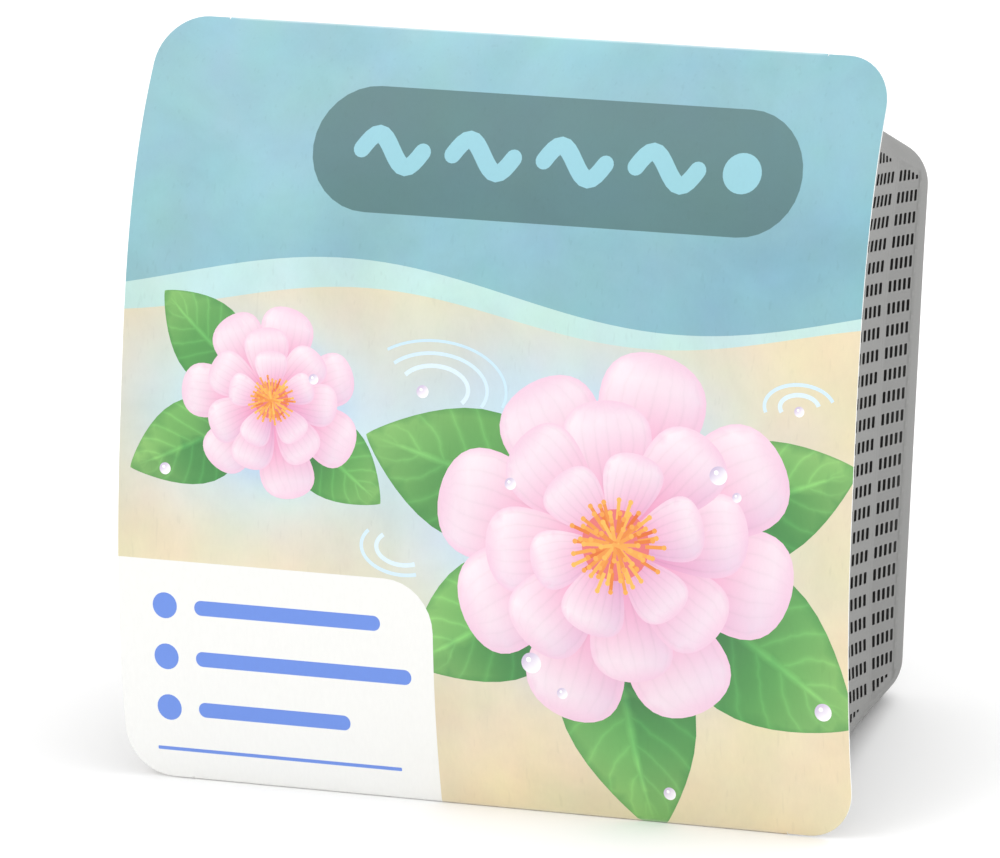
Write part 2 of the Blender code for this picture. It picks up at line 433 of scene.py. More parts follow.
FLAT_STEPS = 22  # mesh steps along the straight part of a wall
CORNER_STEPS = 7  # and round half a corner
FOOT_STEPS = 8  # and round the foot
LEVEL_STEP = 0.0034  # distance between the wall's mesh lines
SLOT_CLEAR = 0.0012  # loose mesh points keep this far from a slot
COLUMN_END = 0.012  # among the slots, they lie only this near the ends of a column
FIELD_EDGE = 0.002  # the field of slots ends this far past its first and last column
MOUTH_BACK = 0.0004  # the walls start this far behind the flange's face
FLANGE_RING = 0.35  # share of the flange's width at which its face has a mesh line
STEP_WIDE = 3  # width of the step round the slotted panel, in its own heights
PAINTED_SHADE_FROM = 0.008  # depth from which the inside and the cut sides of the slots have painted shade
PAINTED_LIGHT_HEIGHTS = (0.03, 0.10)  # heights over which the painted shade goes over to lighter painted light near the floor
PAINTED_LIGHT_DEPTHS = (0.02, 0.07)  # and the depths over which it does so, towards the base
MOULD_LINE = (0.0001, 0.0004)  # distance from its middle at which the moulding line fades
WALLS = ((1, 0), (0, 1), (-1, 0), (0, -1))  # cosine and sine of each wall's turn round the axis


def half_at(depth):
    """Half width of the basket's outside over its corners."""
    made = settings("basket")
    near = max(1 - depth / made.flare_depth, 0.0)
    half = made.rim_half - depth * math.tan(made.taper) + made.flare * near * near
    into = min(max(depth - (made.depth - made.foot), 0.0), made.foot)
    return half - (made.foot - math.sqrt(max(made.foot**2 - into**2, 0.0)))


def corner_and_flat(depth):
    """Radius of the corners, and half the width of the wall between them."""
    made = settings("basket")
    radius = made.corner_rim + (made.corner_base - made.corner_rim) * depth / made.depth
    return radius, half_at(depth) - radius


def waist_at(depth, along):
    """How far a wall is drawn in at one depth and one distance from its middle."""
    made = settings("basket")
    faded = smooth(abs(along), made.waist_from, made.waist_to)
    return made.waist * (1 - depth / made.depth) * (1 - faded)


def wall_point(depth, along, grow=0.0):
    """Place on the wall at +X that lies this far along it, out to the middle of its corners."""
    radius, flat = corner_and_flat(depth)
    past = abs(along) - flat
    if past <= 0:
        return Vector((flat + radius - waist_at(depth, along) + grow, depth, along))
    turn = math.asin(min(past / radius, 1.0))
    drawn = waist_at(depth, flat) * (1 - math.sin(2 * turn)) * math.cos(2 * turn) ** 2
    reach = radius + grow - drawn
    beside = flat + reach * math.sin(turn)
    return Vector((flat + reach * math.cos(turn), depth, math.copysign(beside, along)))


def along_at(depth):
    """Distances along one wall, from the middle of one corner to the middle of the next."""
    radius, flat = corner_and_flat(depth)
    turns = [math.pi / 4 * step / CORNER_STEPS for step in range(1, CORNER_STEPS + 1)]
    corner = [flat + radius * math.sin(turn) for turn in turns]
    middle = [flat * (2 * step / FLAT_STEPS - 1) for step in range(FLAT_STEPS + 1)]
    return [-place for place in reversed(corner)] + middle + corner


def levels():
    """Depths of the wall's mesh lines, from the mouth to the foot."""
    made = settings("basket")
    end = made.depth - made.foot
    steps = round(end / LEVEL_STEP)
    return [MOUTH_BACK + (end - MOUTH_BACK) * step / steps for step in range(steps + 1)]


def panel_outline(grow):
    """Outline of the slotted panel with its plain edge."""
    made = settings("slots")
    reach = (made.columns - 1) / 2 * made.column_pitch
    edge = made.long / 2 + made.panel_edge + grow
    first, last = made.middle - reach - edge, made.middle + reach + edge

    def border(depth):
        return made.border_half - made.border_slope * (depth - made.middle + reach) + edge / 2

    corners = ((first, -1), (last, -1), (last, 1), (first, 1))
    return [(depth, side * border(depth)) for depth, side in corners]


def in_panel(depth, along):
    """1 inside the slotted panel, 0 outside it."""
    outline = panel_outline(MERGE)
    first, last = outline[0][0], outline[1][0]
    share = (depth - first) / (last - first)
    border = outline[2][1] * share + outline[3][1] * (1 - share)
    return 1.0 if 0 <= share <= 1 and abs(along) <= border else 0.0


def wall_sheet(slots):
    """One wall, flat, with its slots: places as depth and distance along, and triangles."""
    rows = levels()
    first, last = along_at(rows[0]), along_at(rows[-1])
    outline = [(rows[0], along) for along in first]
    outline += [(depth, along_at(depth)[-1]) for depth in rows[1:-1]]
    outline += [(rows[-1], along) for along in reversed(last)]
    outline += [(depth, along_at(depth)[0]) for depth in reversed(rows[1:-1])]
    step = settings("slots").panel_step
    outlines = [outline]
    outlines += [divided(panel_outline(grow), LEVEL_STEP) for grow in (0.0, step * STEP_WIDE)]
    depths, alongs = zip(*(place for slot in slots for place in slot))
    near, far = min(depths) - FIELD_EDGE, max(depths) + FIELD_EDGE
    full = max(abs(along) for along in alongs) - COLUMN_END
    boxes = [slot_box(slot) for slot in slots]
    loose = [(depth, along) for depth in rows[1:-1] for along in along_at(depth)[1:-1]
             if not (abs(along) < full and near < depth < far) and clear_of((depth, along), boxes)]
    places, found = triangulate(outlines + slots, loose)
    return places, [face for face, owners in found if max(owners) < len(outlines)]


def slot_box(slot):
    """Lowest and highest corner of the area round a slot that holds no loose mesh point."""
    depths, alongs = zip(*slot)
    return ((min(depths) - SLOT_CLEAR, min(alongs) - SLOT_CLEAR),
            (max(depths) + SLOT_CLEAR, max(alongs) + SLOT_CLEAR))


def clear_of(place, boxes):
    """Whether a place lies in none of the boxes."""
    return not any(low[0] < place[0] < high[0] and low[1] < place[1] < high[1] for low, high in boxes)


def turned(point, wall):
    """A point of the wall at +X, turned to its place on another wall."""
    cosine, sine = wall
    x, depth, z = point
    return cosine * x - sine * z, depth, sine * x + cosine * z


def ring(bm, depth, grow=0.0):
    """Closed loop of verts round the basket's outside at one depth."""
    return [bm.verts.new(turned(wall_point(depth, along, grow), wall))
            for wall in WALLS for along in along_at(depth)[:-1]]


def bridge(bm, rings):
    """Faces from each ring to the next."""
    for one, two in zip(rings, rings[1:]):
        for i in range(len(one)):
            bm.faces.new((one[i - 1], one[i], two[i], two[i - 1]))


def cleaned(bm, side):
    """The skin without stray points, its faces turned towards +Y for side 1 and -Y for side -1."""
    strays = [vert for vert in bm.verts if not vert.link_faces]
    bmesh.ops.delete(bm, geom=strays, context="VERTS")
    if side * sum(face.normal.y * face.calc_area() for face in bm.faces) < 0:
        bmesh.ops.reverse_faces(bm, faces=bm.faces)
    return bm


def basket_skin(slots, floor_slots):
    """Outside of the basket as one open surface: flange, slotted walls, foot and slotted base."""
    made = settings("basket")
    step = settings("slots").panel_step
    bm = bmesh.new()
    sheet = bm.verts.layers.float_vector.new("sheet")
    bridge(bm, [ring(bm, 0.0, made.lip), ring(bm, 0.0, made.lip * FLANGE_RING), ring(bm, MOUTH_BACK)])
    places, faces = wall_sheet(slots)
    for wall in WALLS:
        verts = []
        for depth, along in places:
            within = in_panel(depth, along)
            verts.append(bm.verts.new(turned(wall_point(depth, along, -step * within), wall)))
            verts[-1][sheet] = (depth, along, within)
        for face in faces:
            bm.faces.new([verts[i] for i in face])
    tangent = made.depth - made.foot
    foot = [ring(bm, tangent + made.foot * math.sin(math.pi / 2 * turn / FOOT_STEPS))
            for turn in range(FOOT_STEPS + 1)]
    bridge(bm, foot)
    outline = [(vert.co.x, vert.co.z) for vert in foot[-1]]
    places, found = triangulate([outline] + floor_slots, [])
    verts = [bm.verts.new((x, made.depth, z)) for x, z in places]
    for face, owners in found:
        if max(owners) == 0:
            bm.faces.new([verts[i] for i in face])
    bmesh.ops.remove_doubles(bm, verts=bm.verts, dist=WELD)
    bmesh.ops.recalc_face_normals(bm, faces=bm.faces)
    return cleaned(bm, 1)


def thickened(name, bm, thickness):
    """The skin thickened inwards. Its attribute side is 0 outside, 1 inside and 2 on cut sides."""
    mesh = bpy.data.meshes.new(name)
    bm.to_mesh(mesh)
    bm.free()
    mesh.shade_smooth()
    for _ in range(3):
        mesh.materials.append(None)
    skin = added(name, mesh)
    solid = skin.modifiers.new("Thickness", "SOLIDIFY")
    solid.thickness = thickness
    solid.offset = -1
    solid.use_even_offset = True
    solid.use_quality_normals = True
    solid.material_offset = 1
    solid.material_offset_rim = 2
    whole = finished_mesh(skin)
    sides = [0] * len(whole.polygons)
    whole.polygons.foreach_get("material_index", sides)
    side = whole.attributes.new("side", "FLOAT", "FACE")
    side.data.foreach_set("value", [float(index) for index in sides])
    whole.polygons.foreach_set("material_index", [0] * len(sides))
    whole.materials.clear()
    whole.name = name
    return whole


def placed(name, mesh, material, sharp):
    """An object in the frame, its place in its mesh. Its edges are sharp from this many degrees."""
    mesh.transform(mouth_frame())
    mesh.materials.append(material)
    mesh.shade_smooth()
    mesh.set_sharp_from_angle(angle=math.radians(sharp))
    return added(name, mesh)


def plastic_material():
    """Satin grey plastic with faint flow marks, a moulding line and darker bands between rows; painted
    shade in its slots and closed inside, lifted by painted light near the floor.
    """
    made, slots = settings("basket"), settings("slots")
    look, nodes, place = new_look("grey plastic")
    flow = nodes.stretched(place, (1.0, 0.35, 1.0))
    grain = nodes.noise(place, 2600.0, 2.0)
    sheet = nodes.split(nodes.attribute("sheet")["Vector"])
    # Darker and slightly sunken between the rows of the second band, and along the moulding line in the
    # plain column.
    row = nodes.calc("COSINE", nodes.times(sheet["Y"], 2 * math.pi / slots.row_pitch))
    off_line = nodes.minus(sheet["X"], slots.middle)
    second_band = nodes.calc("GREATER_THAN", off_line, slots.column_pitch / 2)
    between = nodes.times(nodes.ramp(row, 0.15, 0.5, 0.0, 1.0), second_band)
    line = nodes.ramp(nodes.calc("ABSOLUTE", off_line), *MOULD_LINE, 1.0, 0.0)
    row_bands_and_line = nodes.times(nodes.calc("MAXIMUM", between, line), sheet["Z"])
    light = nodes.ramp(nodes.noise(flow, 38.0, 4.0), 0.0, 1.0, 0.93, 1.07)
    tint = nodes.scaled((*made.grey,), nodes.minus(light, nodes.times(row_bands_and_line, 0.12)))
    # Painted shade in the slots and the closed inside, lightened by painted light near the floor and
    # towards the base.
    spot = nodes.split(place)
    low = nodes.ramp(spot["Z"], *PAINTED_LIGHT_HEIGHTS, 1.0, 0.0)
    deep = nodes.ramp(spot["Y"], *PAINTED_LIGHT_DEPTHS, 0.0, 1.0)
    dark = nodes.mix((*made.shade, 1), (*made.painted_light_low, 1), nodes.times(low, deep))
    waves = nodes.bump(nodes.noise(flow, 30.0, 1.0), 0.25, 0.0012)
    waves = nodes.bump(nodes.minus(1.0, row_bands_and_line), 0.3, 0.0001, Normal=waves)
    return worn(look, nodes.mix(tint, dark, nodes.attribute("shade")["Fac"]),
                nodes.ramp(grain, 0.0, 1.0, 0.42, 0.58),
                nodes.bump(grain, 0.12, 0.0001, Normal=waves))


class POND_OT_basket(bpy.types.Operator):
    """Build the slotted basket in place of its solid"""
    bl_idname = "pond.basket"
    bl_label = "Slotted basket"

    def execute(self, context):
        material = plastic_material()
        tree = slot_tree()
        walls = slot_outlines(tree, material, settings("slots").middle, {})
        skin = basket_skin(walls, base_slots(tree, material))
        mesh = thickened("slotted_basket", skin, settings("basket").wall)
        # The inside and the cut sides of the slots, from a small depth on, are marked for painted shade.
        shade = mesh.attributes.new("shade", "FLOAT", "FACE")
        sides = mesh.attributes["side"].data
        for index, face in enumerate(mesh.polygons):
            shaded = sides[index].value > 0.5 and face.center.y > PAINTED_SHADE_FROM
            shade.data[index].value = float(shaded)
        basket = placed("slotted_basket", mesh, material, sharp=35)
        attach(basket, "root")
        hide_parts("basket")
        return {"FINISHED"}


# Card shape

MM = 0.001
FOLD_ZONE = 0.0018  # length of a fold in the flat card
FOLD_RISE = 0.57  # share of a fold's radius by which it stands above the bowed panel
FOLD_STEPS = 4  # mesh steps across a fold
FOLD_CLEAR = 0.0012  # loose mesh points keep this far from a fold
ACROSS_STEPS = 60  # mesh steps across the card
CORNER_RISE = 0.00045  # the corners stand this far above the start of a fold, as high as the fold
ROUND_STEPS = 12  # mesh steps round a corner
CUT = 0.0003  # width of the cut between a corner and its flap
FLAP_NARROWED = 0.03  # share of its width that a flap loses along its sides
FLAP_SIDE = (0.45, 0.9)  # shares of a flap's length at which its sides have a point
FOLD_WEAR = 0.3  # share of the print that is worn off in the middle of a fold
WEAR_REACH = 0.6  # how far from there it is worn, in lengths of a fold


def around(x, y, radius, turn):
    """The place at this distance and in this direction from another."""
    return x + radius * math.cos(turn), y + radius * math.sin(turn)


def bow(across, up):
    """How far the card bulges in front of its ends."""
    made = settings("card")
    twist = made.bow_twist * (across / made.wide)
    share = 2 * up / made.high
    lift = 1 + (made.bow_lean + twist) * share
    return made.bow * (1 + twist) * (1 - min(abs(share), 1.0) ** made.bow_power) * lift


def front_point(across, up):
    return Vector((across, -settings("card").ahead - bow(across, up), up))


def panel_end():
    """Height at which the bowed panel goes over into its folds."""
    made = settings("card")
    return made.high / 2 - FOLD_RISE * made.fold


def card_point(across, flat):
    """Place on the folded card of a point of the flat card."""
    made = settings("card")
    end = panel_end()
    past = abs(flat) - end
    if past <= 0 or abs(across) > made.flap_half:
        return front_point(across, flat)
    sign = math.copysign(1, flat)

    def inward(turn):
        """Direction behind the front where the card has turned this far."""
        return Vector((0, math.cos(turn), -sign * math.sin(turn)))

    fall = (bow(across, sign * (end - MM)) - bow(across, sign * end)) / MM
    first, last = math.atan(fall), math.pi / 2 + made.flap_in
    turn = first + (last - first) * min(past / FOLD_ZONE, 1.0)
    middle = front_point(across, sign * end) + inward(first) * made.fold
    along = max(past - FOLD_ZONE, 0.0)
    return middle - inward(turn) * made.fold + inward(made.flap_in) * along


def card_outline():
    """Outline of the flat card with both its flaps."""
    made = settings("card")
    end = panel_end()
    half, side = made.wide / 2, made.flap_half
    fold = end + FOLD_ZONE
    top = end + CORNER_RISE
    quarter = [(half, 0.0)]
    quarter += [around(half - made.corner, top - made.corner, made.corner, turn)
                for turn in (math.pi / 2 * step / ROUND_STEPS for step in range(ROUND_STEPS + 1))]
    quarter += [(side + CUT, top), (side + CUT / 2, end), (side, end), (side, fold)]
    quarter += [(side * (1 - FLAP_NARROWED * share), fold + made.flap_long * share)
                for share in FLAP_SIDE]
    quarter += [(made.flap_tip, fold + made.flap_long)]
    half_card = quarter + [(-x, y) for x, y in reversed(quarter)]
    return half_card + [(x, -y) for x, y in reversed(half_card[1:-1])]


# Print. Its outlines are in millimetres on the flat card. A paint gives the colour at a place
# with its share of mottling, and then where that is on a petal or leaf: the share of its half
# width and of its length, and 1 for a petal or 2 for a leaf.

WHITE = (1.0, 1.0, 1.0)
PETAL_LIGHT = (0.96, 0.91, 0.93)  # petals towards the light
DROP_TONES = ((1.0, 0.98, 0.99), (0.62, 0.52, 0.70))  # drops away from the light and towards it
NO_LINES = (0.0, 0.0, 0.0)
LAMP = math.radians(130)  # direction that the drawn light comes from
BLADE_STEPS = 16  # mesh steps along the side of a petal or leaf
BLADE_ROWS = (0.12, 0.25, 0.4, 0.55, 0.7, 0.82, 0.92)  # its mesh points inside, along it
BLADE_COLUMNS = (-0.84, -0.5, 0.0, 0.5, 0.84)  # and across it
BOX_STEPS = 8  # mesh steps round a corner of a printed box
BLOSSOMS = (  # middle, radius, petals in each ring, seed, and each leaf's direction, length and half width
    (-56, 2, 24, (7, 7, 5), 0.4, ((2.5, 39, 10), (3.7, 42, 11), (5.6, 38, 10))),
    (36, -27, 47, (8, 8, 6), 1.3, (
        (0.35, 66, 15), (2.75, 70, 17), (3.75, 64, 16), (4.75, 72, 18), (5.75, 74, 19))),
)
POLLEN = 0.13  # radius of a blossom's middle, as a share of the blossom's
STAMENS = ((24, 1.85), (20, 1.45), (15, 1.05), (9, 0.7))  # number, and their reach in middles
GLOWS = ((20, -14, 44, 36, 1.0), (-62, -2, 34, 24, 0.8))  # middle, spread across and up, strength
RIPPLES = (  # middle, radii, and direction of the first and the last point
    (-13, 8, (9, 14, 19), -0.6, 2.6),
    (82, 10, (5, 9), 0.2, 3.6),
    (-20, -32, (7, 11), 2.4, 5.2),
)
RIPPLE_STEPS = 24
RIPPLE_FLAT = 0.62  # height of a ripple as a share of its width
DROPS = (  # middle and radius
    (62, -8, 2.3), (67, -13, 1.2), (14, -58, 2.6), (22, -65, 1.4), (90, -64, 2.2), (49, -88, 1.6),
    (-84, -17, 1.5), (-45, 8, 1.3), (8, -14, 1.5), (-16, 7, 1.6), (82, 9, 1.3),
)
PLATE = (-50, 50, 128, 31, 15.4)  # lower left corner, width, height and radius of its corners
PLATE_LINE = 65.5  # height of the waves and the dot on it
PLATE_WAVES = (-37, -13, 11, 35)  # where each of its waves begins
PLATE_WAVE = (16, 3.9, 4.4)  # length, rise and stroke width of a wave
PLATE_DOT = (62.5, PLATE_LINE, 5.0)  # middle and radius
PANEL = (-130, -150, 118, 110, 13)  # as the plate
MARK_DOT = (-84, 3.3)  # place across and radius of the dot that begins each row on the panel
MARK_BAR = (-76, 3.8, 1.85)  # where the bar behind it begins, its height and its corners' radius
MARK_ROWS = ((-51.5, 50), (-64.5, 58), (-77.5, 41))  # height of each row, and length of its bar
MARK_LINE = (-88, -88.6, 66, 0.9, 0.3)  # thin box under the rows


def wave(x, middle, height, length, start):
    return middle + height * math.sin(2 * math.pi * (x - start) / length)


def circle(x, y, radius, steps):
    return [around(x, y, radius, 2 * math.pi * i / steps) for i in range(steps)]


def rounded_box(x, y, wide, high, radius):
    """Rounded rectangle from its lower left corner."""
    outline = []
    for corner, (right, top) in enumerate(((1, 1), (0, 1), (0, 0), (1, 0))):
        mid_x = x + radius + right * (wide - 2 * radius)
        mid_y = y + radius + top * (high - 2 * radius)
        outline += [around(mid_x, mid_y, radius, math.pi / 2 * (corner + i / BOX_STEPS))
                    for i in range(BOX_STEPS + 1)]
    return outline


def stroke(line, width):
    """Band of an even width along a line, with square ends."""
    left, right = [], []
    for i, (x, y) in enumerate(line):
        back, ahead = line[max(i - 1, 0)], line[min(i + 1, len(line) - 1)]
        dx, dy = ahead[0] - back[0], ahead[1] - back[1]
        length = math.hypot(dx, dy)
        off_x, off_y = dy / length * width / 2, dx / length * width / 2
        left.append((x - off_x, y + off_y))
        right.append((x + off_x, y - off_y))
    return left + right[::-1]


def petal_half(share):
    """Half width of a petal along its length, as a share of its widest. Its tip is round."""
    return 1.22 * min(share, 1.0) ** 0.75 * math.sqrt(max(1 - share**5, 0.0))


def leaf_half(share):
    """The same for a leaf, which is pointed at both ends."""
    return math.sin(math.pi * min(share, 1.0) ** 0.85) ** 0.85


def blade_point(blade, share, side):
    """Point on a petal or leaf, by its share of the length and of the half width."""
    x, y, turn, start, length, half, bend, shape = blade
    along = start + (length - start) * share
    beside = side * half * shape(share) + bend * share * share
    return (x + along * math.cos(turn) - beside * math.sin(turn),
            y + along * math.sin(turn) + beside * math.cos(turn))


def blade_place(blade, px, py):
    """Share of a blade's length and of its half width at a point."""
    x, y, turn, start, length, half, bend, shape = blade
    dx, dy = px - x, py - y
    share = (dx * math.cos(turn) + dy * math.sin(turn) - start) / (length - start)
    share = min(max(share, 0.0), 1.0)
    beside = dy * math.cos(turn) - dx * math.sin(turn) - bend * share * share
    return share, min(max(beside / (half * max(shape(share), 0.05)), -1.0), 1.0)


def blade_mesh(blade):
    """Outline of a petal or leaf and the mesh points inside it."""
    shares = [math.sin(math.pi / 2 * i / BLADE_STEPS) for i in range(BLADE_STEPS + 1)]
    outline = [blade_point(blade, share, 1) for share in shares]
    outline += [blade_point(blade, share, -1) for share in reversed(shares[1:-1])]
    inside = [blade_point(blade, share, side) for share in BLADE_ROWS for side in BLADE_COLUMNS]
    return outline, inside


def plain_paint(colour, mottle=0.0):
    return lambda x, y: ((*colour, mottle), NO_LINES)


def petal_paint(blade, covered):
    """Pink at the base and pale at the tip, shaded as a cushion lit from one side."""
    made = settings("print")
    turn = blade[2]

    def paint(x, y):
        share, side = blade_place(blade, x, y)
        lit = side * math.cos(turn + math.pi / 2 - LAMP) + 0.35 * math.cos(turn - LAMP)
        tone = mix(made.petal_eye, made.petal, smooth(share, 0.0, 0.55))
        tone = mix(tone, made.petal_tip, smooth(share, 0.4, 0.95))
        tone = mix(tone, made.petal_shade, 0.6 * smooth(-lit, 0.0, 1.2) * (1 - 0.4 * share))
        tone = mix(tone, PETAL_LIGHT, 0.6 * smooth(lit, 0.0, 1.1) * smooth(share, 0.1, 0.6))
        tone = mix(tone, made.petal_eye, covered * (1 - smooth(share, 0.4, 0.9)))
        rim = smooth(max(abs(side), share), 0.84, 1.0)
        tone = mix(tone, made.petal, 0.75 * rim * smooth(share, 0.3, 0.8))
        return (*tone, 0.15), (side, share, 1.0)
    return paint


def leaf_paint(blade):
    """Green, its two halves lit differently, darker below the blossom."""
    made = settings("print")
    turn = blade[2]

    def paint(x, y):
        share, side = blade_place(blade, x, y)
        lit = math.copysign(1, side) * math.cos(turn + math.pi / 2 - LAMP)
        tone = mix(made.leaf_dark, made.leaf, 0.5 + 0.4 * lit)
        towards = 0.45 * smooth(share, 0.5, 1.0) + 0.25 * max(lit, 0.0) * abs(side)
        tone = mix(tone, made.leaf_light, towards)
        tone = mix(tone, made.leaf_dark, 0.5 * smooth(abs(side), 0.86, 1.0))
        tone = mix(tone, made.leaf_deep, 0.7 * shadow_at(x, y))
        return (*tone, 0.7), (side, share, 2.0)
    return paint


def blossom(x, y, radius, rings, seed, leaves):
    """A round pink blossom seen from above: outlines, mesh points and paints, lowest first."""
    made = settings("print")
    rng = random.Random(seed)
    areas, points = [], []

    def add(blade, paint):
        outline, inside = blade_mesh(blade)
        areas.append((outline, paint))
        points.extend(inside)

    for turn, length, half in leaves:
        blade = (x, y, turn, radius * 0.3, length, half, rng.uniform(-0.09, 0.09) * length, leaf_half)
        add(blade, leaf_paint(blade))
    for level, petals in enumerate(rings):
        for petal in range(petals):
            turn = 2 * math.pi * (petal + 0.5 * (level % 2)) / petals + rng.uniform(-0.08, 0.08) + seed
            length = radius * (1 - 0.25 * level) * rng.uniform(0.95, 1.04)
            half = length * (0.335 + 0.03 * level) * rng.uniform(0.94, 1.06)
            bend = rng.uniform(-0.05, 0.05) * length
            blade = (x, y, turn, radius * 0.04, length, half, bend, petal_half)
            add(blade, petal_paint(blade, 0.45 - 0.16 * level))
    middle = radius * POLLEN
    areas.append((circle(x, y, middle * 1.45, 28), plain_paint(mix(made.petal_eye, made.pollen, 0.6))))
    for stamens, reach in STAMENS:
        for i in range(stamens):
            turn = 2 * math.pi * (i + reach) / stamens + rng.uniform(-0.10, 0.10)
            far = middle * reach * rng.uniform(0.88, 1.12)
            tip = around(x, y, far, turn)
            tone = mix(made.pollen, made.pollen_tip, rng.uniform(0.0, 1.0))
            stem = stroke([around(x, y, far - middle * 0.8, turn), tip], middle * 0.15)
            areas.append((stem, plain_paint(tone)))
            areas.append((circle(*tip, middle * 0.11, 8), plain_paint(mix(tone, made.pollen_tip, 0.5))))
    return areas, points


def drop(x, y, radius):
    """A drop of water with its highlight, lit from one side."""
    def paint(px, py):
        lit = ((px - x) * math.cos(LAMP) + (py - y) * math.sin(LAMP)) / radius
        return (*mix(*DROP_TONES, smooth(lit, -0.9, 1.0)), 0.0), NO_LINES

    spot = around(x, y, radius * 0.4, LAMP)
    return [(circle(x, y, radius, 22), paint), (circle(*spot, radius * 0.26, 12), plain_paint(WHITE))]


def shadow_at(x, y):
    """Soft shadow that the blossoms cast on what lies below them, from 0 to 1."""
    dark = 0.0
    for mid_x, mid_y, radius, *_ in BLOSSOMS:
        away = math.hypot(x - mid_x + radius * 0.07 * math.cos(LAMP), y - mid_y + radius * 0.10)
        dark = max(dark, 1 - smooth(away, radius * 0.5, radius * 1.02))
    return dark


def ground_paint(x, y):
    """Sand with a soft blue glow behind the blossoms and a green tinge at the bottom."""
    made = settings("print")
    glow = sum(strength * math.exp(-((x - mid_x) / half_wide) ** 2 - ((y - mid_y) / half_high) ** 2)
               for mid_x, mid_y, half_wide, half_high, strength in GLOWS)
    tone = mix(made.sand, made.glow, min(glow * 1.1, 0.95))
    tone = mix(tone, WHITE, 0.35 * min(glow * 1.1, 1.0) ** 2)
    tone = mix(tone, made.leaf, 0.03 * (1 - smooth(y, -95, -60)))
    tone = mix(tone, made.mark, 0.26 * shadow_at(x, y))
    return (*tone, 0.8), NO_LINES


def water_paint(x, y):
    made = settings("print")
    tone = mix(made.water, made.water_deep, 0.5 * smooth(x, -100, 100) + 0.2 * smooth(y, 80, 20))
    return (*tone, 1.0), NO_LINES


def waters():
    """The water at the card's top, with a paler second wave below it."""
    above = [(100, 140), (-100, 140)]
    columns = [-100 + 4 * i for i in range(51)]
    crest = [(x, wave(x, 32, 6.5, 176, -82)) for x in columns]
    second = [(x, wave(x, 26.5, 5.0, 150, -70)) for x in columns]
    shallows = plain_paint(settings("print").shallows, 0.9)
    return [(second + above, shallows), (crest + above, water_paint)]


def ripples(x, y, radii, first, last):
    """Thin pale arcs round a point, as on water."""
    arcs = []
    for i, radius in enumerate(radii):
        start, whole = first + 0.15 * i, last - first - 0.3 * i
        turns = [start + whole * j / RIPPLE_STEPS for j in range(RIPPLE_STEPS + 1)]
        line = [(x + radius * math.cos(turn), y + RIPPLE_FLAT * radius * math.sin(turn))
                for turn in turns]
        tone = mix(settings("print").glow, WHITE, 0.55 - 0.1 * i)
        arcs.append((stroke(line, 1.1 - 0.2 * i), plain_paint(tone)))
    return arcs


def label_plate():
    """A blank plate with short waves and a dot."""
    made = settings("print")
    shape = plain_paint(made.ornament, 0.3)
    long, rise, wide = PLATE_WAVE
    areas = [(rounded_box(*PLATE), plain_paint(made.plate, 0.7))]
    for start in PLATE_WAVES:
        line = [(start + j, wave(j, PLATE_LINE, rise, long, 0)) for j in range(long + 1)]
        areas.append((stroke(line, wide), shape))
        areas += [(circle(*end, wide / 2, 16), shape) for end in (line[0], line[-1])]
    return areas + [(circle(*PLATE_DOT, 30), shape)]


def white_panel():
    """A white panel with rows of dots and bars, and a thin line under them."""
    made = settings("print")
    mark = plain_paint(made.mark)
    dot, dot_radius = MARK_DOT
    bar, high, rounding = MARK_BAR
    areas = [(rounded_box(*PANEL), plain_paint(made.panel))]
    for y, long in MARK_ROWS:
        areas.append((circle(dot, y, dot_radius, 24), mark))
        areas.append((rounded_box(bar, y - high / 2, long, high, rounding), mark))
    return areas + [(rounded_box(*MARK_LINE), mark)]


def print_areas():
    """Everything printed on the card, lowest first, and the mesh points that its colours need."""
    areas, points = waters(), []
    for place in RIPPLES:
        areas += ripples(*place)
    for place in BLOSSOMS:
        made_areas, made_points = blossom(*place)
        areas += made_areas
        points += made_points
    for place in DROPS:
        areas += drop(*place)
    return areas + label_plate() + white_panel(), points


def strip(half, low, high):
    """Rectangle of this half width, from low to high."""
    return [(-half, low), (half, low), (half, high), (-half, high)]


def fold_wear(across, flat):
    """How far the print is worn off at a fold, from 0 to 1."""
    off_fold = abs(abs(flat) - panel_end() - FOLD_ZONE / 2)
    folded = abs(across) < settings("card").flap_half
    return FOLD_WEAR * (1 - smooth(off_fold, 0.0, FOLD_ZONE * WEAR_REACH)) * folded


def card_skin():
    """Printed side of the card, folded, with its colours in the corners of its faces."""
    made = settings("card")
    edge = settings("print").edge
    outline = card_outline()
    areas, inside = print_areas()
    half, end = made.flap_half, panel_end()
    bends = [end + FOLD_ZONE * step / FOLD_STEPS for step in range(FOLD_STEPS + 1)]
    outlines = [divided(outline, made.step)]
    outlines += [strip(half, sign * bend, sign * bends[-1]) for sign in (-1, 1) for bend in bends[:-1]]
    first = len(outlines)
    outlines += [divided([(x * MM, y * MM) for x, y in area[0]], made.step) for area in areas]
    high = max(y for _, y in outline)
    rows = round(2 * high / made.step)
    loose = [(made.wide * (i / ACROSS_STEPS - 0.5), high * (2 * j / rows - 1))
             for i in range(1, ACROSS_STEPS) for j in range(1, rows)]
    loose = [(x, y) for x, y in loose if not -FOLD_CLEAR < abs(y) - end < FOLD_ZONE + FOLD_CLEAR]
    loose += [(half * (2 * i / ACROSS_STEPS - 1), sign * bend)
              for bend in bends for i in range(1, ACROSS_STEPS) for sign in (-1, 1)]
    loose += [(x * MM, y * MM) for x, y in inside]
    places, found = triangulate(outlines, loose)
    bm = bmesh.new()
    colours = bm.loops.layers.float_color.new("print")
    lines = bm.loops.layers.float_vector.new("lines")
    verts = [bm.verts.new(card_point(x, flat)) for x, flat in places]
    for face, owners in found:
        if len(set(face)) < 3:
            continue
        made_face = bm.faces.new([verts[i] for i in face])
        top = max(owners) - first
        paint = areas[top][1] if top >= 0 else ground_paint
        for loop, index in zip(made_face.loops, face):
            tone, loop[lines] = paint(*places[index] / MM)
            loop[colours] = (*mix(tone[:3], edge, fold_wear(*places[index])), tone[3])
    return cleaned(bm, -1)


